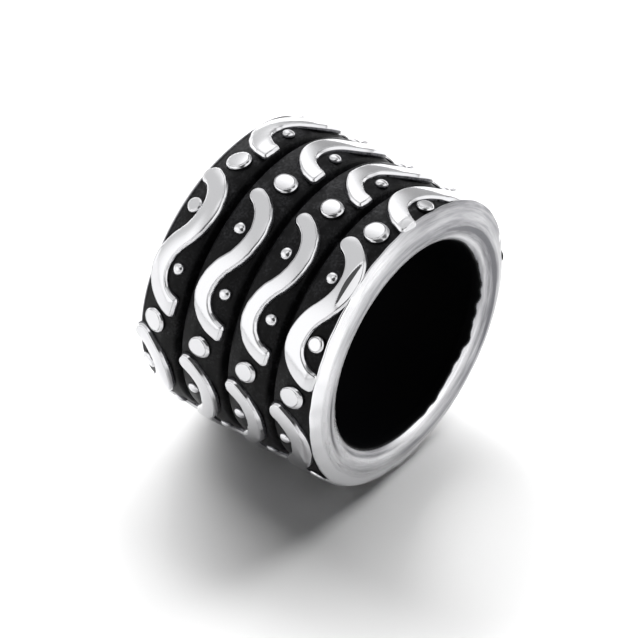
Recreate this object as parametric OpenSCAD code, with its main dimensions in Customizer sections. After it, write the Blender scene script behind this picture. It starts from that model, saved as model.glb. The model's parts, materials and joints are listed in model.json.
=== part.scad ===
// Large-hole bead for a lock of hair: one steel casting with rows of waves, discs and dots
// standing on a blackened ground. It lies on its barrel, with its bore along X and its
// broad lip towards +X. Millimetres and degrees.

/* [Barrel] */
// Length of the bead from lip to lip
bead_len = 8.84; // [7.6:0.02:12]
// Radius of the ground that the raised work stands on
ground_r = 5.8; // [5.3:0.05:7]
// Radius of the bore that the hair passes through
bore_r = 4.2; // [3:0.05:4.6]
// Height of the rounded lip at the front end
front_lip_h = 0.5; // [0.2:0.01:0.7]
// Height of the rounded lip at the back end
back_lip_h = 0.35; // [0.1:0.01:0.7]
// Distance from the back end to where the back row starts to taper
back_taper_in = 1.46; // [0.8:0.02:1.5]
// Drop of the taper at the back lip
back_taper_drop = 0.4; // [0.1:0.01:0.5]

/* [Rows] */
// Number of rows side by side along the bore
row_count = 4; // [2:1:4]
// Number of repeats of the pattern round one row
repeat_count = 5; // [4:1:6]
// Distance from the front end to the middle of the front row
front_row_in = 1.25; // [1.1:0.01:1.5]
// Distance from the back end to the middle of the back row
back_row_in = 1.01; // [0.95:0.01:1.3]
// Turn of the pattern round the bore
pattern_turn = 42.8; // [0:0.1:72]

/* [Grooves] */
// Width of the groove between two rows
groove_w = 0.42; // [0.2:0.01:0.6]
// Depth of the groove below the ground
groove_deep = 0.45; // [0.2:0.01:0.6]
// Width of the sloping shoulder beside a groove
shoulder_w = 0.3; // [0.1:0.01:0.4]
// Drop of the ground over a shoulder
shoulder_drop = 0.08; // [0.02:0.01:0.15]

/* [Raised work] */
// Height of the waves above the ground
wave_h = 0.2; // [0.1:0.01:0.4]
// Width of a wave's band
wave_w = 0.65; // [0.4:0.01:0.8]
// Height of the discs above the ground
disc_h = 0.15; // [0.08:0.01:0.4]
// Radius of a disc
disc_r = 0.485; // [0.3:0.005:0.52]
// Height of the dots above the ground
dot_h = 0.12; // [0.08:0.01:0.2]
// Radius of a dot's ball
dot_r = 0.26; // [0.21:0.005:0.3]
// Radius of the flat dots along the two ends
end_dot_r = 0.36; // [0.25:0.005:0.4]
// Length over which the waves are polished down to the front lip
bevel_len = 0.5; // [0.1:0.01:0.7]
// Number of flats round the bead that the tops of the waves are polished to
flat_count = 24; // [20:4:36]

/* [Hidden] */
$fn = 96;

// Radii and places along the bore
relief_r = ground_r + wave_h;
groove_r = ground_r - groove_deep;
root_r = (bore_r + groove_r) / 2;
post_root_r = (bore_r + root_r) / 2;
back_rim_r = ground_r - back_taper_drop;
front_x = bead_len / 2;
back_x = -bead_len / 2;
row_pitch = (bead_len - front_row_in - back_row_in) / (row_count - 1);
repeat_angle = 360 / repeat_count;
flat_angle = 360 / flat_count;
flat_corner_r = relief_r / cos(flat_angle / 2);
taper_slope = back_taper_drop / (back_taper_in - back_lip_h);

// What a cut or a block reaches past the surface that ends it
past = 1;

// Chords to one side of an arc of a wave, and to its round tip
side_steps = 6;
tip_steps = 8;

// The middle line of a wave, from its round tip over both bulges to its cut tip.
// Each row holds a place along the bore, as a share of row_pitch from the row's middle,
// and a turn round it, as a share of repeat_angle from the wave's middle.
along = 0;
round = 1;
WAVE = [
    [-0.155, -0.354],
    [0.24, -0.178],
    [-0.166, 0.167],
    [0.45, 0.381],
];

// Where the discs and dots sit, in the same shares
disc_place = [0.025, 0.514];
back_dot_place = [-0.119, -0.156];
front_dot_place = [0.215, 0.181];

// Half of the length along the bore that the cut tips leave to a row, as a share of row_pitch
row_half = 0.4;

// Share of the front lip that the polish turns down below the ground's edge
lip_edge_share = 0.72;

function row_x(row) = back_x + back_row_in + row * row_pitch;
function is_front(row) = row == row_count - 1;
function is_back(row) = row == 0;

// A place in the pattern laid flat on the plane that touches the waves' tops
function laid(place) = [
    place[along] * row_pitch,
    -relief_r * sin(place[round] * repeat_angle)
];

// Radius of the arc that leaves a bulge straight round the bead and passes through a second point
function arc_r(bulge, end) =
    (pow(end.x - bulge.x, 2) + pow(end.y - bulge.y, 2)) / (2 * abs(end.x - bulge.x));

// Radius of the circle through the two edges of a wall and the top of its lip
function lip_r(lip_h, wall) = (pow(wall / 2, 2) + pow(lip_h, 2)) / (2 * lip_h);

module along_bore() {
    translate([0, 0, relief_r]) children();
}

// Turns a profile of radius and place along the bore about the bore
module turned() {
    rotate([0, 90, 0]) rotate_extrude() children();
}

// The cap of one lip in the profile, for an end at height zero that faces up.
// It reaches as far again into the wall.
module lip_profile(lip_h, rim_r) {
    wall = rim_r - bore_r;
    r = lip_r(lip_h, wall);
    intersection() {
        translate([bore_r, -2 * lip_h]) square([wall, 2 * lip_h]);
        translate([bore_r + wall / 2, -r]) circle(r = r);
    }
}

// Wall of the barrel between its two rounded lips
module barrel_profile() {
    polygon([
        [bore_r, back_x + back_lip_h],
        [back_rim_r, back_x + back_lip_h],
        [ground_r, back_x + back_taper_in],
        [ground_r, front_x - front_lip_h],
        [bore_r, front_x - front_lip_h],
    ]);
    translate([0, front_x]) lip_profile(front_lip_h, ground_r);
    translate([0, back_x]) mirror([0, 1]) lip_profile(back_lip_h, back_rim_r);
}

// Cross section of what is cut between two rows: a groove between two sloping shoulders
module groove_profile() {
    half = groove_w / 2;
    outer = half + shoulder_w;
    polygon([
        [relief_r + past, -outer],
        [ground_r, -outer],
        [ground_r - shoulder_drop, -half],
        [groove_r, 0],
        [ground_r - shoulder_drop, half],
        [ground_r, outer],
        [relief_r + past, outer],
    ]);
}

module barrel() {
    difference() {
        turned() barrel_profile();
        for (row = [0 : row_count - 2])
            translate([row_x(row) + row_pitch / 2, 0, 0]) turned() groove_profile();
    }
}

// Prism along the bore whose flat sides end the tops of the waves. The bead lies still on
// the side that faces down.
module flat_sides() {
    translate([back_x, 0, 0]) rotate([0, 90, 0]) linear_extrude(bead_len)
        polygon([for (turn = [flat_angle / 2 : flat_angle : 360])
            flat_corner_r * [cos(turn), sin(turn)]]);
}

// The ring that holds all the raised work, from inside the wall to a little over the tops of
// the waves, tapered to the back and bevelled down to the front lip
module relief_ring() {
    edge_x = front_x - front_lip_h * lip_edge_share;
    turned() polygon([
        [root_r, back_x + back_lip_h / 2],
        [back_rim_r, back_x + back_lip_h / 2],
        [back_rim_r + wave_h, back_x + back_lip_h],
        [relief_r + wave_h, back_x + back_taper_in + wave_h / taper_slope],
        [relief_r + wave_h, edge_x - 2 * bevel_len],
        [ground_r, edge_x],
        [root_r, edge_x],
    ]);
}

// One side of the band along the arc from a bulge to a second point, as side_steps chords
function hook_side(bulge, end, is_front_side) =
    let (
        r = arc_r(bulge, end),
        ahead = sign(end.x - bulge.x),
        across = sign(end.y - bulge.y),
        sweep = acos(1 - abs(end.x - bulge.x) / r),
        edge_r = r + (is_front_side ? -ahead : ahead) * wave_w / 2
    )
    [for (step = [0 : side_steps])
        let (angle = sweep * step / side_steps)
        [
            bulge.x + ahead * (r - edge_r * cos(angle)),
            bulge.y + across * edge_r * sin(angle)
        ]];

// The same list from its second point to its second last, and a list turned end for end
function inner(points) = [for (i = [1 : len(points) - 2]) points[i]];
function turned_round(points) = [for (i = [len(points) - 1 : -1 : 0]) points[i]];

// One side of the whole wave, from the round tip to the cut tip
function wave_side(tip, front_bulge, back_bulge, cut_tip, is_front_side) =
    let (middle = (front_bulge + back_bulge) / 2)
    concat(
        turned_round(hook_side(front_bulge, tip, is_front_side)),
        inner(hook_side(front_bulge, middle, is_front_side)),
        turned_round(hook_side(back_bulge, middle, is_front_side)),
        inner(hook_side(back_bulge, cut_tip, is_front_side)),
        [hook_side(back_bulge, cut_tip, is_front_side)[side_steps]]
    );

// The half round that closes the band, from its back side to its front side
function round_tip(bulge, end) =
    let (
        centre_x = bulge.x + sign(end.x - bulge.x) * arc_r(bulge, end),
        out_angle = atan2(end.y - bulge.y, end.x - centre_x)
    )
    [for (step = [tip_steps - 1 : -1 : 1])
        let (angle = out_angle + 180 * step / tip_steps)
        end + wave_w / 2 * [cos(angle), sin(angle)]];

// A wave as a block along Z, over the plane through the bore's axis
module wave_block() {
    places = [for (place = WAVE) laid(place)];
    linear_extrude(relief_r + past) polygon(concat(
        wave_side(places[0], places[1], places[2], places[3], true),
        turned_round(wave_side(places[0], places[1], places[2], places[3], false)),
        round_tip(places[1], places[0])
    ));
}

// Room along the bore that the row leaves to its waves: the front row runs into the lip
module row_slab(row) {
    half = row_half * row_pitch;
    reach = is_front(row) ? front_row_in : half;
    translate([-row_pitch / 2, -relief_r, 0])
        cube([row_pitch / 2 + reach, 2 * relief_r, relief_r + 2 * past]);
}

module wave(row) {
    intersection() {
        translate([row_x(row), 0, 0]) intersection() {
            wave_block();
            row_slab(row);
        }
        relief_ring();
    }
}

// A round post from inside the wall up to the given height above the ground
module post(r, h) {
    translate([0, 0, post_root_r]) cylinder(r = r, h = ground_r + h - post_root_r);
}

module dot(is_flat) {
    if (is_flat)
        post(end_dot_r, disc_h);
    else
        translate([0, 0, ground_r + dot_h - dot_r]) sphere(r = dot_r);
}

// Puts a feature modelled on top of the barrel at its place in one row
module at(row, place) {
    translate([row_x(row) + place[along] * row_pitch, 0, 0])
        rotate([place[round] * repeat_angle, 0, 0]) children();
}

// The disc after a wave, and the dot in the hollow of each bulge
module disc_and_dots(row) {
    at(row, disc_place) post(disc_r, disc_h);
    at(row, back_dot_place) dot(is_back(row));
    at(row, front_dot_place) dot(is_front(row));
}

// One repeat of one row, where the taper cuts the discs and dots of the back row
module motif(row) {
    wave(row);
    if (is_back(row))
        intersection() {
            disc_and_dots(row);
            relief_ring();
        }
    else
        disc_and_dots(row);
}

module bead() {
    color("silver") along_bore() {
        barrel();
        intersection() {
            for (row = [0 : row_count - 1])
                for (repeat = [0 : repeat_count - 1])
                    rotate([pattern_turn + repeat * repeat_angle, 0, 0]) motif(row);
            flat_sides();
        }
    }
}

bead();
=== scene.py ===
import json

import bpy
import numpy as np
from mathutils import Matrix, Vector


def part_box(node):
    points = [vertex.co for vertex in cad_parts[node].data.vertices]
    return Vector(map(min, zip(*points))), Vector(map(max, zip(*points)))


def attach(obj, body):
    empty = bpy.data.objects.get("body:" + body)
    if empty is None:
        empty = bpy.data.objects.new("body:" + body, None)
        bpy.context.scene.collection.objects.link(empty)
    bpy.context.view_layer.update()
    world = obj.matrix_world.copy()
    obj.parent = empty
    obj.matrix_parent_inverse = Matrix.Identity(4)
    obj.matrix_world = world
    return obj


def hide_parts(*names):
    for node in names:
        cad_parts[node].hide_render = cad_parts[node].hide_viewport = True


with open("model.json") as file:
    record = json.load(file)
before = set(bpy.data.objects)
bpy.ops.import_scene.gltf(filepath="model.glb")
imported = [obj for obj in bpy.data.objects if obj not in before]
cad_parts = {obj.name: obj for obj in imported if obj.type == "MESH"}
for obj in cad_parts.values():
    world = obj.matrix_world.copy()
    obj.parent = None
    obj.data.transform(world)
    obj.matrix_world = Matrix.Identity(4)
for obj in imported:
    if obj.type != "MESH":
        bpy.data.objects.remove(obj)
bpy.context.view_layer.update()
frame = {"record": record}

# Sizes in millimetres. The frame gives the bead's outside and its bore; the rest repeats
# the construction or was measured on the real bead's surface. X runs along the bore, and a
# turn round it starts at the top.
MM = 0.001
low, high = (np.array(corner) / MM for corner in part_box("bead"))
back_x = low[0]
front_x = high[0]
relief_r = (high[2] - low[2]) / 2
axis_z = relief_r
bore_r = frame["record"]["mounts"][0]["dims"]["r_mm"]

# Rows along the bore and repeats of the pattern round it
row_count = 4
repeat_count = 5
front_row_in = 1.25
back_row_in = 1.01
row_pitch = (front_x - back_x - front_row_in - back_row_in) / (row_count - 1)
row_x = back_x + back_row_in + row_pitch * np.arange(row_count)
groove_x = row_x[:-1] + row_pitch / 2
repeat_angle = 2 * np.pi / repeat_count
pattern_turn = np.radians(42.8)

# The ground between the raised forms. A blend rounds the start or the bottom of a slope.
wave_h = 0.2
ground_r = relief_r - wave_h
groove_deep = 0.5
groove_half = 0.2
groove_blend = 0.02
crown_half = 0.36
crown_slope = np.tan(np.radians(13))
back_taper_in = 1.46
back_taper_drop = 0.4
back_lip_h = 0.35
taper_blend = 0.03

# How this one casting is uneven. The side of the bead that faces the camera is at
# askew_turn, and what is uneven goes with the sine of the turn from there. The high place of
# the back taper is high_half wide either side, in radians.
askew_turn = np.radians(39.8)
askew_by = 0.13
taper_uneven = 0.35
high_turn = askew_turn - np.radians(75)
high_half = 0.42
high_share = 0.8

# The front lip's outer edge: how far from the front end it lies, how far it drifts forward at
# a sine of one and at least, and where the sine is under -raised_from, how much higher it
# stands for what is left to minus one
lip_in = 0.40
drift_by = 0.09
drift_least = -0.1
raised_from = 0.85
raised_by = 0.9

# The filed facet of the front row's waves, as distances from the front end: where it starts,
# how much sooner it starts at the front bulge, which has a place and a half width in degrees,
# and past the wave's middle, and its foot. The web runs from the foot to the lip's edge,
# web_drop lower, and dives in behind the lip.
facet_slope = np.tan(np.radians(27))
facet_in = 0.645
facet_bulge_in = 0.21
facet_late_in = 0.08
facet_foot_in = 0.68
bulge_turn = -12.5
bulge_half = 11
web_drop = 0.03
late_web_drop = 0.09
dive_in = 0.03
dive_slope = 1.75

# The raised forms: heights, radii, how deep they reach under the ground, and what keeps them
# inside the construction's box
disc_h = 0.155
dot_r = 0.26
dot_h = 0.14
end_dot_r = 0.28
root_deep = 0.25
top_margin = 0.002
back_margin = 0.06

# The middle line of a wave and the places of its disc and dots, as shares of the row's
# pitch along the bore and of one repeat round it
WAVE = np.array([
    [-0.174, -0.349],
    [0.251, -0.158],
    [-0.143, 0.206],
    [0.413, 0.381],
])
DISC = (0.035, 0.514)
BACK_DOT = (-0.100, -0.156)
FRONT_DOT = (0.233, 0.181)

# Where the cut tips of the waves end: a share of the pitch from the row's middle, and in the
# front row a distance from the front end
row_half = 0.413
front_tip_in = 0.26

# What differs from row to row: the width of the waves' flat tops, how much they are domed,
# the radius of the discs' tops, how far their edges slide to the front, and how far the row
# sits off its place along the bore. The front row's last repeat sits further back.
WAVE_W = (0.69, 0.55, 0.54, 0.66)
WAVE_CROWN = (0.03, 0.014, 0.014, 0.014)
DISC_R = (0.44, 0.40, 0.39, 0.42)
DISC_SLIDE = (0.04, 0.05, 0.05, 0.10)
ROW_OFF = (-0.06, -0.01, 0.0, -0.03)
last_repeat_back = 0.10


# The ground, and the limits of what stands on it

def taper(x, turn=askew_turn):
    """How far the back of the bead is tapered down at a place along the bore: evenly from
    nothing at back_taper_in to back_taper_drop at the lip, with a soft start. It is deeper on
    one side of the bead than on the other, and slight at one high place."""
    share = (back_x + back_taper_in - x) / (back_taper_in - back_lip_h)
    share = np.minimum(0.5 * (share + np.sqrt(share ** 2 + taper_blend)), 1)
    side = np.sin(turn - askew_turn)
    from_high = np.arctan2(np.sin(turn - high_turn), np.cos(turn - high_turn))
    high_place = high_share * np.exp(-(from_high / high_half) ** 2)
    return back_taper_drop * share * (1 - taper_uneven * side - high_place)


def ground(x):
    """Radius of the blackened ground: flat on the middle of a row, falling at crown_slope
    either side of it, down a rounded V in each groove, and along the taper at the back."""
    x = np.asarray(x, float)
    from_row = np.abs(x[..., None] - row_x).min(-1)
    from_groove = np.abs(x[..., None] - groove_x).min(-1)
    fall = crown_slope * np.clip(from_row - crown_half, 0, None) * (x > row_x[0])
    across = np.clip(1 - from_groove / groove_half, 0, None)
    groove = groove_deep * (np.sqrt(across ** 2 + groove_blend) - np.sqrt(groove_blend))
    return ground_r - fall - groove - taper(x)


def askew(turn):
    """The raised rows lie a little askew on the barrel: how far along the bore."""
    return -askew_by * np.sin(turn - askew_turn)


def lip_drift(turn):
    """How far the front lip's outer edge lies forward of its usual place, at the side of the
    bead where the lip is narrow."""
    return drift_by * np.clip(np.sin(turn - askew_turn), drift_least, 1)


def no_cut(x, turn, turn0):
    """The limit for raised work that nothing cuts."""
    return np.full(np.shape(x), relief_r)


def lip_cut(x, turn, turn0):
    """The limit for the front row's waves: a flat facet filed down towards the front, longest
    at the front bulge, and from its foot a low web that runs to the lip's edge and dives in
    behind it. Turn is counted from the wave's own turn0."""
    lip_edge = front_x - lip_in + lip_drift(turn0 + turn)
    from_bulge = (np.degrees(turn) - bulge_turn) / bulge_half
    sooner = np.clip(1 - from_bulge ** 2, 0, 1)
    start = facet_in + facet_bulge_in * sooner + facet_late_in * (turn > 0)
    facet = facet_slope * np.clip(np.minimum(x - front_x, -facet_foot_in) + start, 0, None)
    web = np.clip((x - front_x + facet_foot_in) / (lip_edge - front_x + facet_foot_in), 0, 1)
    drop = np.where(turn > 0, late_web_drop - facet, web_drop)
    dive = dive_slope * np.clip(x - lip_edge - dive_in, 0, None)
    return relief_r - facet - drop * web - dive


def on_barrel(x, turn, r):
    """Points in metres for a place along the bore, a turn round it and a radius."""
    return np.stack([x, -r * np.sin(turn), axis_z + r * np.cos(turn)], -1) * MM


# Runs of points and meshes

def wobble(count, size, seed, waves):
    """A small closed random run: a sum of so many waves a turn, each with a seeded height and
    phase, of about this size."""
    rng = np.random.default_rng(seed)
    u = np.linspace(0, 2 * np.pi, count, endpoint=False)
    heights = rng.normal(0, 1, len(waves)) / np.sqrt(len(waves))
    phases = rng.uniform(0, 2 * np.pi, len(waves))
    return size * (heights[:, None] * np.sin(np.outer(waves, u) + phases[:, None])).sum(0)


def length_along(points):
    """The length of an open run of points up to each of them."""
    return np.concatenate([[0], np.cumsum(np.hypot(*np.diff(points, axis=0).T))])


def points_at(points, run, at):
    """The places that a run of points has at other lengths along it."""
    return np.stack([np.interp(at, run, points[:, k]) for k in (0, 1)], -1)


def rounded_loop(points, reach):
    """A closed profile with its corners rounded: each point is the mean of the places that
    the loop has over a stretch of the given reach either side of it."""
    closed = np.vstack([points, points[:1]])
    run = length_along(closed)
    offsets = np.linspace(-reach, reach, 9)
    at = (run[:-1, None] + offsets) % run[-1]
    return np.stack([np.interp(at, run, closed[:, k]).mean(1) for k in (0, 1)], -1)


def grid_faces(rows, columns, wrap_rows=False, wrap_columns=False):
    """Corner numbers of the squares of a grid whose points are numbered row by row."""
    i = np.arange(rows if wrap_rows else rows - 1)[:, None]
    j = np.arange(columns if wrap_columns else columns - 1)[None, :]
    i_next = (i + 1) % rows
    j_next = (j + 1) % columns
    corners = [i * columns + j, i_next * columns + j, i_next * columns + j_next,
               i * columns + j_next]
    return np.stack([c.ravel() for c in np.broadcast_arrays(*corners)], -1)


def join_parts(parts):
    """Several (points, faces, polish) as one, with the corner numbers moved along."""
    starts = np.cumsum([0] + [len(p[0]) for p in parts[:-1]])
    return (np.concatenate([p[0] for p in parts]),
            np.concatenate([p[1] + s for p, s in zip(parts, starts)]),
            np.concatenate([p[2] for p in parts]))


def welded(points, faces):
    """Points that share a place become one, and squares that lose a corner by it become
    triangles or go."""
    weld = 0.0002 * MM
    keys = np.round(points / weld).astype(np.int64)
    _, first, number = np.unique(keys, axis=0, return_index=True, return_inverse=True)
    faces = number.reshape(-1)[faces]
    repeated = faces == np.roll(faces, -1, axis=1)
    squares = faces[~repeated.any(1)]
    pinched = repeated.sum(1) == 1
    kept = ~repeated[pinched]
    triangles = faces[pinched][kept].reshape(-1, 3)
    return first, squares, triangles


def solid_mesh(name, points, faces, polish):
    """A closed mesh in metres with the attribute polish on its points, facing outwards."""
    first, squares, triangles = welded(points, faces)
    mesh = bpy.data.meshes.new(name)
    corners = np.concatenate([squares.ravel(), triangles.ravel()])
    sizes = np.concatenate([np.full(len(squares), 4), np.full(len(triangles), 3)])
    mesh.vertices.add(len(first))
    mesh.vertices.foreach_set("co", points[first].ravel())
    mesh.loops.add(len(corners))
    mesh.loops.foreach_set("vertex_index", corners)
    mesh.polygons.add(len(sizes))
    mesh.polygons.foreach_set("loop_start", np.concatenate([[0], sizes.cumsum()[:-1]]))
    mesh.polygons.foreach_set("loop_total", sizes)
    mesh.update(calc_edges=True)
    mesh.validate()
    mesh.shade_smooth()
    layer = mesh.attributes.new("polish", "FLOAT", "POINT")
    layer.data.foreach_set("value", polish[first].astype(np.float32))
    return mesh


def in_scene(name, data):
    """A new object at the origin that shows the data, linked to the scene."""
    obj = bpy.data.objects.new(name, data)
    bpy.context.scene.collection.objects.link(obj)
    return obj


def piece(name, surface, material):
    """Puts a surface into the scene as a piece that rides on the body and stands for the
    bead."""
    mesh = solid_mesh(name, *surface)
    mesh.materials.append(material)
    obj = in_scene(name, mesh)
    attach(obj, "root")
    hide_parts("bead")


# Barrel

# Corners of the two lips' sections, as distances from their end of the bead and radii. The
# front lip runs from the bore to its outer edge, and the back lip the other way.
FRONT_LIP = np.array([
    [-0.58, 4.20], [-0.36, 4.28], [-0.19, 4.46], [-0.07, 4.72], [0, 5.02],
    [-0.03, 5.20], [-0.09, 5.34], [-0.17, 5.50], [-0.26, 5.66], [-0.33, 5.78],
    [-0.37, 5.825], [-0.41, 5.825], [-0.45, 5.77],
])
BACK_LIP = np.array([
    [0.36, 5.39], [0.24, 5.38], [0.11, 5.31], [0.03, 5.15], [0, 4.90],
    [0.03, 4.62], [0.12, 4.40], [0.25, 4.25], [0.40, 4.20],
])

# Polish of the lips by the share of their section: 1 is bright, 0.8 brushed, 0 and less black;
# at -1 the black is deeper and even, as in the bore, which is painted shade
LIP_POLISH = ([0, 0.04, 0.10, 0.22, 0.34, 0.52, 0.66, 0.80, 0.96, 1],
              [-1, 0.05, 0.95, 0.90, 0.78, 0.77, 0.84, 1, 1, 0.1])
BACK_LIP_POLISH = ([0, 0.05, 0.12, 0.85, 1], [0, 0.3, 1, 1, -1])

# How much less polished the front lip is, by the turn in degrees from askew_turn: along a dark
# ring round the middle of its face, and along its edge to the bore, where it is painted shade on
# the lip's lower side
DARK_RING = ([-150, -110, -80, -55, 30, 45, 65, 82, 120, 140, 170],
        [0.10, 0.20, 0.20, 0, 0, 0.20, 0.22, 0, 0, 0.10, 0.06])
INNER_PAINTED_SHADE = ([60, 85, 115, 145], [0, 0.24, 0.24, 0])
dark_ring_r = 4.94
dark_ring_half = 0.08
inner_shade_r = 4.65
inner_shade_blur = 0.1

# Painted light on the lip: how much more polished, so lighter, the lip's face is on one side,
# which is a painted reflection, and how much less its crest is on the other, so darker, which is
# painted shade, where crest is what has at least this polish
face_painted_sheen = 0.09
crest_painted_shade = 0.22
crest_polish = 0.85

# The black edge at the bore: its radius, how soft it is and how ragged, and the radius past
# which it isn't looked for
black_edge_r = 4.33
black_edge_blur = 0.05
black_edge_ragged = 0.09
inside_lip_r = 4.75

# How much a place takes part in what moves the front lip's outer edge, by its distance
# behind that edge
EDGE_SHARE = ([-0.38, -0.08, 0.08, 0.5], [0, 1, 1, 0])
edge_from_r = 5

# Waves a turn of the lip's outer edge, of the black edge at the bore, and of the patches
# where that edge is ragged
LIP_WAVES = (3, 5, 8, 13, 21, 34, 47)
RAGGED_WAVES = (2, 5, 9, 14, 23, 31, 43, 59)
RAGGED_PATCHES = (1, 2, 4, 6)


def barrel_profile():
    """The closed profile of the barrel as places along the bore and radii, with the polish
    of each: the bore, the front lip, the ground row by row, and the back lip."""
    bore_steps = 20
    front_steps = 56
    ground_steps = 150
    back_steps = 36

    # The bore and the ground start and end a little off the sections of the lips
    bore_x = np.linspace(back_x + 0.6, front_x - 0.75, bore_steps)
    ground_x = np.linspace(front_x - 0.50, back_x + 0.40, ground_steps)

    def dense(corners, count):
        """The line through the corners as so many points at even distances."""
        run = length_along(corners)
        return points_at(corners, run, np.linspace(0, run[-1], count))

    front = dense(FRONT_LIP + [front_x, 0], front_steps)
    back = dense(BACK_LIP + [back_x, 0], back_steps)
    outside = np.stack([ground_x, ground(ground_x)], -1)
    inside = np.stack([bore_x, np.full(len(bore_x), bore_r)], -1)
    points = rounded_loop(np.vstack([inside, front, outside, back]), reach=0.03)
    # The bore's polish of -1 is painted shade: its black is made deeper and even.
    polish = np.concatenate([
        np.full(len(inside), -1),
        np.interp(np.linspace(0, 1, len(front)), *LIP_POLISH),
        np.zeros(len(outside)),
        np.interp(np.linspace(0, 1, len(back)), *BACK_LIP_POLISH),
    ])
    return points, polish


def barrel_polish(profile, polish, turns):
    """The profile's polish carried round the bore: cut off at a ragged black edge inside the
    front lip, a little more on one side of the lip as a painted reflection and less on its crest
    at the other side as painted shade, and less along a dark ring and, as painted shade, along
    the edge to the bore on the lip's lower side."""
    x, r = profile.T
    ragged = wobble(len(turns), size=black_edge_ragged, seed=11, waves=RAGGED_WAVES)
    patches = wobble(len(turns), size=1, seed=5, waves=RAGGED_PATCHES)
    ragged = ragged * np.clip(patches, 0, 1)
    inside_lip = (r < inside_lip_r) * (x > 0)
    from_black = np.clip((r - black_edge_r - ragged[:, None]) / black_edge_blur, -1, 1)
    polish = np.where(inside_lip, np.minimum(polish, from_black), polish)
    lip = (x > 0) * (polish > 0.5)
    side = np.sin(turns - askew_turn)[:, None]
    # Painted reflection and painted shade: the lip's face is lightened on one side and its crest
    # darkened on the other.
    crest_shade_mask = np.clip((polish - crest_polish) / 0.15, 0, 1) * np.clip(side, -1, 0)
    uneven = face_painted_sheen * np.clip(side, -0.5, 1) + crest_painted_shade * crest_shade_mask
    turned = np.degrees(turns - askew_turn)
    dark_ring = np.interp(turned, *DARK_RING, period=360)[:, None]
    inner_shade = np.interp(turned, *INNER_PAINTED_SHADE, period=360)[:, None]
    # Darker along a ring round the middle of the lip's face, by more or less at each turn.
    uneven = uneven - dark_ring * np.exp(-((r - dark_ring_r) / dark_ring_half) ** 2)
    # Painted shade: the lip's edge to the bore is darkened on its lower side.
    uneven = uneven - inner_shade * np.clip((inner_shade_r - r) / inner_shade_blur, 0, 1)
    return polish + lip * uneven


def barrel():
    """The barrel: its profile turned round the bore, one grid closed both ways. The outside
    follows the uneven taper, and the bore doesn't. The front lip's outer edge drifts and
    wobbles along the bore, and stands higher on the side where it doesn't drift."""
    profile, polish = barrel_profile()
    turns = np.linspace(0, 2 * np.pi, 360, endpoint=False)
    outside_from_r = 4.6
    outside = np.clip((profile[:, 1] - outside_from_r) / 0.5, 0, 1)
    lean = taper(profile[:, 0]) - taper(profile[:, 0], turns[:, None])
    off_edge = front_x - lip_in - profile[:, 0]
    at_edge = np.interp(off_edge, *EDGE_SHARE) * (profile[:, 1] > edge_from_r)
    wander = lip_drift(turns) + wobble(len(turns), size=0.025, seed=7, waves=LIP_WAVES)
    x = profile[:, 0] + at_edge * wander[:, None]
    side = np.sin(turns - askew_turn)[:, None]
    raised_edge = at_edge * raised_by * np.clip(-side - raised_from, 0, 1)
    r = profile[:, 1] + outside * lean + raised_edge
    points = on_barrel(x, turns[:, None], r).reshape(-1, 3)
    faces = grid_faces(len(turns), len(profile), True, True)
    return points, faces[:, ::-1], barrel_polish(profile, polish, turns).ravel()


# Raised forms

def creased(points, reach):
    """An open run of points with each inner corner cut off a short way before and behind it,
    so that smooth shading keeps the facets apart."""
    before = points[:-2]
    here = points[1:-1]
    after = points[2:]
    back = before - here
    ahead = after - here
    back = here + back * (reach / np.hypot(*back.T))[:, None]
    ahead = here + ahead * (reach / np.hypot(*ahead.T))[:, None]
    inner = np.stack([back, ahead], 1).reshape(-1, 2)
    return np.vstack([points[:1], inner, points[-1:]])


# Lean in degrees and width of the polished facets along the edges, and below them the steep
# wall, as how far out it stands and a share of the form's height
FACETS = np.array([[28, 0.035], [60, 0.10]])
DISC_FACETS = np.array([[42, 0.06], [68, 0.035]])
WALL = np.array([[0.012, 0.25], [0.025, 1.0], [0.035, 1.5]])


def edge_profile(crown, facets, height, steps=8, wall_polish=0):
    """The profile of a raised form as rows of share, out, fall and polish: a gently crowned
    top in so many steps, the polished facets along its edge, and below them a steep wall of
    the given polish, where most of the black has stayed."""
    top_end = 0.985
    before_edge = 0.01
    crease = 0.004
    share = np.linspace(0, top_end, steps)
    top = np.stack([share, 0 * share, crown * share ** 2, 0 * share + 1], -1)
    lean = np.radians(facets[:, 0])
    width = facets[:, 1]
    run = np.cumsum(np.stack([width * np.cos(lean), width * np.sin(lean)], -1), axis=0)
    run = np.vstack([[0, 0], run]) + [0, crown]
    wall = run[-1] + WALL * [1, height - run[-1, 1]]
    run = creased(np.vstack([[-before_edge, crown], run, wall]), crease)
    above_wall = run[:, 1] < wall[0, 1] - 1.5 * crease
    polished = np.where(above_wall, 1, wall_polish)
    edge = np.stack([np.ones(len(run)), run[:, 0], run[:, 1], polished], -1)
    return np.vstack([top, edge])


def dome_profile(height):
    """The profile of a stud as rows of share, out, fall and polish: a dome that stands
    steeply on the ground, dark at its foot. At each lean the share is the lean's sine, and
    the fall goes with one less its cosine."""
    lean = np.radians(np.array([0, 12, 24, 36, 48, 60, 70, 78]))
    fall = height * (1 - np.cos(lean)) / (1 - np.cos(lean[-1]))
    dome = np.stack([np.sin(lean), 0 * lean, fall, 0 * lean + 1], -1)
    dome[-2:, 3] = [0.7, 0.2]
    return np.vstack([dome, [1, 0.01, 1.5 * height, 0]])


# The front row's waves need more steps, because the facet and the web cross their tops
TOP_STEPS = (12, 12, 12, 40)
wave_wall_polish = 0.14
WAVE_PROFILES = [edge_profile(crown, FACETS, wave_h, steps, wave_wall_polish)
                 for crown, steps in zip(WAVE_CROWN, TOP_STEPS)]
DISC_PROFILE = edge_profile(0.012, DISC_FACETS, disc_h)
FLAT_DOT = (end_dot_r, disc_h, DISC_PROFILE)
STUD = (dot_r, dot_h, dome_profile(dot_h))


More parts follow.
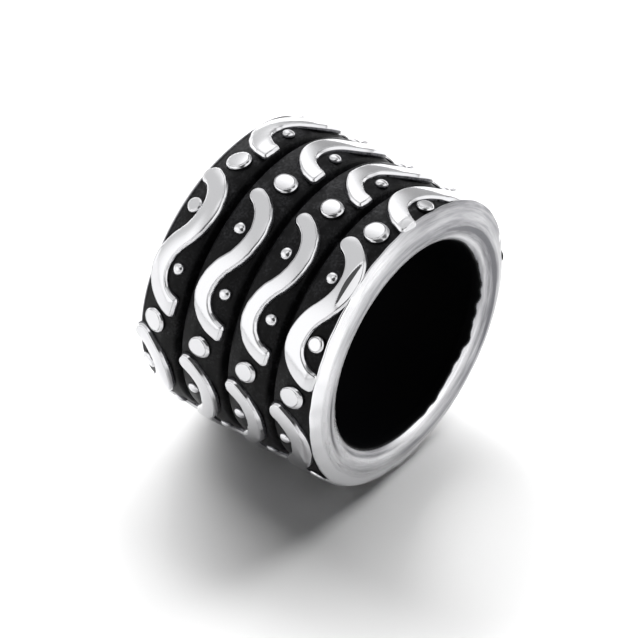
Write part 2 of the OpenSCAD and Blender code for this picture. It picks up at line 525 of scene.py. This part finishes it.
def raised(outline, spine, height, x0, turn0, profile, cut=no_cut, slide=0):
    """One raised form, in rings that follow its profile. A ring lies at the profile's share
    of the way from spine to outline, moved out along the outline's normal by the profile's
    out. It stands at the height over the tapered ground, or as low as cut says, less the
    profile's fall. The rings slide to the front as they fall, by slide in all, and stay
    inside the back end. A last ring under the ground closes the form. Outline and spine are
    closed runs of as many places along the bore from x0 and round it from turn0, in
    millimetres."""
    normal = np.roll(outline, -1, 0) - np.roll(outline, 1, 0)
    normal = np.stack([normal[:, 1], -normal[:, 0]], -1)
    normal /= np.hypot(*normal.T)[:, None]
    share, out, fall, polish = profile.T[:, :, None]
    place = spine + (outline - spine) * share[..., None] + normal * out[..., None]
    place[..., 0] += askew(turn0 + place[..., 1] / relief_r)
    slid_fall = 0.6 * height
    place[..., 0] += slide * np.clip(fall / slid_fall, 0, 1)
    place[..., 0] = np.maximum(place[..., 0], back_x + back_margin - x0)
    foot = spine + np.stack([askew(turn0 + spine[:, 1] / relief_r), np.zeros(len(spine))], -1)
    x = x0 + place[..., 0]
    uncut = ground_r + height - taper(x, turn0 + place[..., 1] / relief_r)
    radius = np.minimum(uncut, cut(x, place[..., 1] / relief_r, turn0)) - fall
    place = np.concatenate([place, foot[None]])
    radius = np.concatenate([radius, ground(x0 + foot[None, :, 0]) - root_deep])
    polish = np.append(np.repeat(polish, len(outline), 1), np.zeros(len(outline)))
    points = on_barrel(x0 + place[..., 0], turn0 + place[..., 1] / relief_r, radius)
    faces = grid_faces(len(place), len(outline), False, True)
    return points.reshape(-1, 3), faces, polish


def arc_through(bulge, end, steps=24):
    """The arc that leaves a bulge straight round the bead and ends at a second point."""
    ahead, across = end - bulge
    r = (ahead ** 2 + across ** 2) / (2 * abs(ahead))
    angle = np.arccos(1 - abs(ahead) / r) * np.linspace(0, 1, steps)
    return bulge + np.stack([np.sign(ahead) * r * (1 - np.cos(angle)),
                             np.sign(across) * r * np.sin(angle)], -1)


def wave_line():
    """The middle line of a wave: arcs from its round tip over both bulges to its cut tip,
    as places along the bore and round it in millimetres."""
    tip, front, back, cut = WAVE * [row_pitch, repeat_angle * relief_r]
    middle = (front + back) / 2
    return np.vstack([
        arc_through(front, tip)[::-1],
        arc_through(front, middle)[1:],
        arc_through(back, middle)[::-1][1:],
        arc_through(back, cut)[1:],
    ])


def cut_length(edge, run, end_x):
    """The length along a wave's middle line at which one side of its band crosses end_x, or
    the whole length where it doesn't."""
    past = np.nonzero(edge[:, 0] > end_x)[0]
    past = past[run[past] > run[-1] / 2]
    if not len(past):
        return run[-1]
    n = past[0]
    part = (end_x - edge[n - 1, 0]) / (edge[n, 0] - edge[n - 1, 0])
    return run[n - 1] + part * (run[n] - run[n - 1])


def wave_outline(width, end_x, seed):
    """The closed outline of a wave and the spine under it: both sides of the band, half a
    circle round the tip, and a straight cut across it at end_x, all a little uneven."""
    side_count = 90
    tip_count = 26
    cut_count = 14
    line = wave_line()
    run = length_along(line)
    along = np.gradient(line, run, axis=0)
    along /= np.hypot(*along.T)[:, None]
    across = np.stack([along[:, 1], -along[:, 0]], -1)
    half = width / 2
    sides = []
    feet = []
    for sign in (1, -1):
        edge = line + sign * half * across
        at = np.linspace(0, cut_length(edge, run, end_x), side_count)
        sides.append(points_at(edge, run, at))
        feet.append(points_at(line, run, np.clip(at, 0, run[-1] - half)))
    angles = np.linspace(0, np.pi, tip_count)[1:-1, None]
    tip = line[0] - half * (np.sin(angles) * along[0] + np.cos(angles) * across[0])
    cut = np.linspace(sides[0][-1], sides[1][-1], cut_count)[1:-1]
    cut_foot = np.linspace(feet[0][-1], feet[1][-1], cut_count)[1:-1]
    outline = np.vstack([sides[0], cut, sides[1][::-1], tip])
    spine = np.vstack([feet[0], cut_foot, feet[1][::-1], np.repeat(line[:1], len(tip), 0)])
    out = outline - spine
    reach = np.hypot(*out.T)[:, None]
    uneven = wobble(len(outline), size=0.012, seed=seed, waves=(5, 9, 14, 23, 37))
    outline = outline + out / reach * uneven[:, None]
    outline[:, 0] = np.minimum(outline[:, 0], end_x)
    return rounded_loop(outline, reach=0.06), spine


def round_outline(r, seed):
    """A slightly uneven circle and its middle."""
    u = np.linspace(0, 2 * np.pi, 48, endpoint=False)
    radius = r + wobble(len(u), size=0.035 * r, seed=seed, waves=(2, 3))
    return np.stack([radius * np.cos(u), radius * np.sin(u)], -1), np.zeros((len(u), 2))


def turn_of(share, repeat):
    """Turn round the bore of a place in one repeat of the pattern."""
    return pattern_turn + (repeat + share) * repeat_angle


def row_place(row, repeat):
    """Where the middle of one repeat of a row lies along the bore."""
    is_last = (row, repeat) == (row_count - 1, repeat_count - 1)
    return row_x[row] + ROW_OFF[row] - (last_repeat_back if is_last else 0)


def waves(row):
    """The waves of one row. The front row's run on into the lip."""
    is_front = row == row_count - 1
    end_x = front_row_in - ROW_OFF[row] - front_tip_in if is_front else row_half * row_pitch
    cut = lip_cut if is_front else no_cut
    parts = []
    for repeat in range(repeat_count):
        outline, spine = wave_outline(WAVE_W[row], end_x, 100 * row + repeat)
        parts.append(raised(outline, spine, wave_h - top_margin, row_place(row, repeat),
                            turn_of(0, repeat), WAVE_PROFILES[row], cut))
    return join_parts(parts)


def discs():
    """The discs: low, nearly flat rounds with an edge that is broadest towards the front."""
    parts = []
    for row in range(row_count):
        for repeat in range(repeat_count):
            outline, spine = round_outline(DISC_R[row], 1000 + 100 * row + repeat)
            x = row_place(row, repeat) + DISC[0] * row_pitch
            parts.append(raised(outline, spine, disc_h, x, turn_of(DISC[1], repeat),
                                DISC_PROFILE, slide=DISC_SLIDE[row]))
    return join_parts(parts)


def dots():
    """The dots in the hollows of the waves: small rough studs, and flat rounds along the
    two ends of the bead."""
    parts = []
    for row in range(row_count):
        for repeat in range(repeat_count):
            for number, (share_x, share_turn) in enumerate((BACK_DOT, FRONT_DOT)):
                is_flat = row == (0, row_count - 1)[number]
                r, height, profile = FLAT_DOT if is_flat else STUD
                outline, spine = round_outline(r, 2000 + 100 * row + 10 * repeat + number)
                x = row_place(row, repeat) + share_x * row_pitch
                parts.append(raised(outline, spine, height, x, turn_of(share_turn, repeat),
                                    profile))
    return join_parts(parts)


# Materials

def linear(hex_colour):
    """An sRGB hex value as linear red, green, blue and alpha."""
    channels = np.array([int(hex_colour[i:i + 2], 16) for i in (0, 2, 4)]) / 255
    values = np.where(channels <= 0.04045, channels / 12.92, ((channels + 0.055) / 1.055) ** 2.4)
    return (*values, 1.0)


def add(tree, kind, inputs=None, **settings):
    """Adds a node with its settings and inputs, and returns it. An input is named or
    numbered, and is a value or the output of another node."""
    node = tree.nodes.new(kind)
    for name, value in settings.items():
        setattr(node, name, value)
    for name, source in (inputs or {}).items():
        if isinstance(source, bpy.types.NodeSocket):
            tree.links.new(source, node.inputs[name])
        else:
            node.inputs[name].default_value = source
    return node


def brush_marks(tree, place):
    """Brush marks that run round the bore: noise of the place along the bore and the radius,
    while the turn counts for little. A fine grit leaves marks about 0.05 mm apart, too fine
    to show here, so they are drawn four times as coarse."""
    spacing = 0.22 * MM
    turn_share = 0.09
    mean_r = 5 * MM
    x, y, z = add(tree, "ShaderNodeSeparateXYZ", {0: place}).outputs
    height = add(tree, "ShaderNodeMath", {0: z, 1: axis_z * MM}, operation="SUBTRACT")
    height = height.outputs[0]
    side = add(tree, "ShaderNodeMath", {0: y, 1: y}, operation="MULTIPLY").outputs[0]
    radius = add(tree, "ShaderNodeMath", {0: height, 1: height, 2: side},
                 operation="MULTIPLY_ADD").outputs[0]
    radius = add(tree, "ShaderNodeMath", {0: radius}, operation="SQRT").outputs[0]
    turned = []
    for part in (y, height):
        scaled = add(tree, "ShaderNodeMath", {0: part, 1: mean_r * turn_share},
                     operation="MULTIPLY").outputs[0]
        turned.append(add(tree, "ShaderNodeMath", {0: scaled, 1: radius},
                          operation="DIVIDE").outputs[0])
    drawn_at = add(tree, "ShaderNodeCombineXYZ", {0: x, 1: turned[0], 2: turned[1]})
    return add(tree, "ShaderNodeTexNoise", {
        "Vector": drawn_at.outputs[0], "W": radius, "Scale": 1 / spacing, "Detail": 4,
        "Roughness": 0.65}, noise_dimensions="4D").outputs["Fac"]


def cast_steel(name, cover, brushed, bright_colour):
    """Cast steel that was blackened all over and then polished. Where the attribute polish
    is low the black skin stays, dull and mottled, where it is near one the metal is bright,
    and a little below that it is brushed and greyer. Cover is how much of the black stays,
    and brushed how much the brush marks count. The grain of the cast skin is about 0.1 mm,
    and the blots of the blackening are about 0.5 mm across."""
    grain_size = 0.10 * MM
    blot_size = 0.55 * MM
    material = bpy.data.materials.new(name)
    material.use_nodes = True
    tree = material.node_tree
    tree.nodes.clear()
    place = add(tree, "ShaderNodeTexCoord").outputs["Object"]
    polish = add(tree, "ShaderNodeAttribute", attribute_name="polish").outputs["Fac"]
    grain = add(tree, "ShaderNodeTexNoise", {
        "Vector": place, "Scale": 1 / grain_size, "Detail": 4, "Roughness": 0.6})
    grain = grain.outputs["Fac"]
    blots = add(tree, "ShaderNodeTexNoise", {
        "Vector": place, "Scale": 1 / blot_size, "Detail": 3, "Roughness": 0.6})
    blots = blots.outputs["Fac"]

    # The grain breaks up the edge between black and metal, and brush marks grey the metal
    worn = add(tree, "ShaderNodeMath", {0: grain, 1: 0.5, 2: polish}, operation="MULTIPLY_ADD")
    bright = add(tree, "ShaderNodeMapRange", {
        "Value": worn.outputs[0], "From Min": cover + 0.20, "From Max": cover + 0.30}).outputs[0]
    brush = add(tree, "ShaderNodeMath", {0: brush_marks(tree, place), 1: brushed, 2: polish},
                operation="MULTIPLY_ADD")
    shine = add(tree, "ShaderNodeMapRange", {
        "Value": brush.outputs[0], "From Min": 0.68 + brushed / 2,
        "From Max": 0.98 + brushed / 2}).outputs[0]
    steel = add(tree, "ShaderNodeMix", {
        "Factor": shine, "A": linear("66666a"), "B": linear(bright_colour)}, data_type="RGBA")

    # The black skin is mottled outside and even and deep in the bore, where polish is -1: the
    # even, deeper black and the lower gloss there are painted shade on the real black skin
    fine_mottle = add(tree, "ShaderNodeMapRange", {
        "Value": grain, "From Min": 0.42, "From Max": 0.72})
    broad_mottle = add(tree, "ShaderNodeMapRange", {
        "Value": blots, "From Min": 0.40, "From Max": 0.62})
    mottle = add(tree, "ShaderNodeMath", {
        0: fine_mottle.outputs[0], 1: broad_mottle.outputs[0]}, operation="MULTIPLY")
    outside = add(tree, "ShaderNodeMapRange", {
        "Value": polish, "From Min": -0.6, "From Max": -0.1})
    mottle = add(tree, "ShaderNodeMath", {
        0: mottle.outputs[0], 1: outside.outputs[0]}, operation="MULTIPLY")
    black = add(tree, "ShaderNodeMix", {
        "Factor": mottle.outputs[0], "A": linear("030304"), "B": linear("2e2e30")},
        data_type="RGBA")
    gloss_and_bore_shade = add(tree, "ShaderNodeMapRange", {
        "Value": polish, "From Min": -0.6, "From Max": -0.1, "To Min": 0.02, "To Max": 0.12})

    colour = add(tree, "ShaderNodeMix", {
        "Factor": bright, "A": black.outputs["Result"], "B": steel.outputs["Result"]},
        data_type="RGBA")
    metal_rough = add(tree, "ShaderNodeMapRange", {
        "Value": shine, "To Min": 0.45, "To Max": 0.12 + brushed / 4})
    rough = add(tree, "ShaderNodeMix", {
        "Factor": bright, "A": 0.5, "B": metal_rough.outputs[0]})
    bump = add(tree, "ShaderNodeBump", {
        "Height": grain, "Strength": 0.15, "Distance": 0.01 * MM})
    shader = add(tree, "ShaderNodeBsdfPrincipled", {
        "Base Color": colour.outputs["Result"], "Metallic": bright,
        "Roughness": rough.outputs[0], "Normal": bump.outputs[0],
        "Specular IOR Level": gloss_and_bore_shade.outputs[0]})
    add(tree, "ShaderNodeOutputMaterial", {"Surface": shader.outputs[0]})
    return material


# Cast stainless steel, blackened all over and then brushed and buffed on its lips alone: a
# dull black skin with faint mottling, deep black in the bore, where the depth is painted shade,
# and grey-white lips with fine marks that run round the bore.
# The lips' bright colour e4e4e6 is lighter than the raised forms' cacacc, though the steel is
# the same: a painted reflection that lightens the lips.
blackened_steel = cast_steel("blackened_cast_steel", 0.45, 0.35, "e4e4e6")

# The same casting where it stands out of the ground and was buffed bright: light grey metal
# that mirrors the room softly, with the black left on its walls.
polished_steel = cast_steel("polished_cast_steel", 0.10, 0.0, "cacacc")

piece("barrel", barrel(), blackened_steel)
for row in range(row_count):
    piece(f"waves_row_{row + 1}", waves(row), polished_steel)
piece("discs", discs(), polished_steel)
piece("dots", dots(), polished_steel)


# Studio

def floor():
    """A plain pale square under the bead. White paper is matt, and gives the eye a soft
    shadow and no reflection."""
    half = 400 * MM
    mesh = bpy.data.meshes.new("floor")
    corners = [(-half, -half, 0), (half, -half, 0), (half, half, 0), (-half, half, 0)]
    mesh.from_pydata(corners, [], [(0, 1, 2, 3)])
    material = bpy.data.materials.new("white_paper")
    material.use_nodes = True
    shader = material.node_tree.nodes["Principled BSDF"]
    shader.inputs["Base Color"].default_value = linear("f4f4f4")
    shader.inputs["Roughness"].default_value = 0.6
    mesh.materials.append(material)
    obj = in_scene("floor", mesh)


def toward(azimuth, elevation):
    """The direction from the bead to a place given by the angles that a view takes."""
    a, e = np.radians([azimuth, elevation])
    return Vector((np.sin(a) * np.cos(e), -np.cos(a) * np.cos(e), np.sin(e)))


def soft_light(name, azimuth, elevation, distance, size, power):
    """A square soft light aimed at the bead. The polished metal mirrors the room instead."""
    back = toward(azimuth, elevation)
    data = bpy.data.lights.new(name, "AREA")
    data.size = size
    data.energy = power
    light = in_scene(name, data)
    light.location = Vector((0, 0, axis_z * MM)) + back * distance
    light.rotation_euler = back.to_track_quat("Z", "Y").to_euler()
    light.visible_glossy = False


# What the metal mirrors of the room: azimuth and elevation of the middle of a soft patch,
# the angles where it is full and where it ends, and its brightness
ROOM_PATCHES = [
    (-35, 12, 16, 44, 2.1),
    (-142, 36, 12, 34, 2.3),
    (120, 32, 14, 40, 1.9),
    (92, 8, 18, 34, 2.0),
    (-10, 74, 8, 18, 1.9),
    (42, 40, 15, 26, 0.08),
    (50, 58, 12, 24, 0.16),
    (22, 50, 10, 22, 0.12),
    (136, 61, 8, 18, 0.25),
    (-178, 5, 20, 42, 0.62),
    (-162, 0, 10, 24, 0.75),
]

# How bright the plain room is, and the share of its light that falls on what is dull
room_brightness = 1.2
dull_share = 0.004


def studio_world():
    """A plain pale room with soft brighter and darker parts. Little of it falls on the floor,
    which the soft lights light instead."""
    world = bpy.data.worlds.new("studio")
    bpy.context.scene.world = world
    world.use_nodes = True
    tree = world.node_tree
    tree.nodes.clear()
    direction = add(tree, "ShaderNodeTexCoord").outputs["Generated"]
    room = add(tree, "ShaderNodeValue")
    room.outputs[0].default_value = room_brightness
    level = room.outputs[0]
    for azimuth, elevation, full, end, brightness in ROOM_PATCHES:
        near = add(tree, "ShaderNodeVectorMath", {
            0: direction, 1: toward(azimuth, elevation)}, operation="DOT_PRODUCT")
        inside = add(tree, "ShaderNodeMapRange", {
            "Value": near.outputs["Value"], "From Min": np.cos(np.radians(end)),
            "From Max": np.cos(np.radians(full))}, interpolation_type="SMOOTHSTEP")
        level = add(tree, "ShaderNodeMix", {
            "Factor": inside.outputs[0], "A": level, "B": brightness}).outputs[0]
    path = add(tree, "ShaderNodeLightPath")
    share = add(tree, "ShaderNodeMapRange", {
        "Value": path.outputs["Is Diffuse Ray"], "To Min": 1.0, "To Max": dull_share})
    strength = add(tree, "ShaderNodeMath", {0: level, 1: share.outputs[0]},
                   operation="MULTIPLY")
    shade = add(tree, "ShaderNodeBackground", {"Strength": strength.outputs[0]})
    add(tree, "ShaderNodeOutputWorld", {"Surface": shade.outputs[0]})


def camera():
    """The photo's view. The bead's middle on the axis plane of the front end sits at a known
    pixel, and one millimetre is a known number of pixels across the line of sight."""
    pixels_per_mm = 26.83
    width_px = 637
    height_px = 638
    anchor_px = np.array([407.5, 345.0])
    anchor = Vector((4.122, 0, axis_z)) * MM
    distance = 0.6
    sensor = 36
    back = toward(38.5, 43.2)
    right = Vector((-back.y, back.x, 0)).normalized()
    up = back.cross(right)
    across, down = (anchor_px - np.array([width_px, height_px]) / 2) / pixels_per_mm * MM
    target = anchor - right * across + up * down
    data = bpy.data.cameras.new("camera")
    data.sensor_width = sensor
    data.lens = sensor * distance / (height_px / pixels_per_mm * MM)
    data.clip_start = 0.01
    obj = in_scene("camera", data)
    obj.location = target + back * distance
    obj.rotation_euler = back.to_track_quat("Z", "Y").to_euler()
    bpy.context.scene.camera = obj


floor()
studio_world()
soft_light("back_softbox", -166, 37, 0.4, 0.43, 3.4)
soft_light("left_softbox", -110, 36, 0.4, 0.26, 2.1)
camera()
bpy.context.scene.view_settings.view_transform = "Standard"
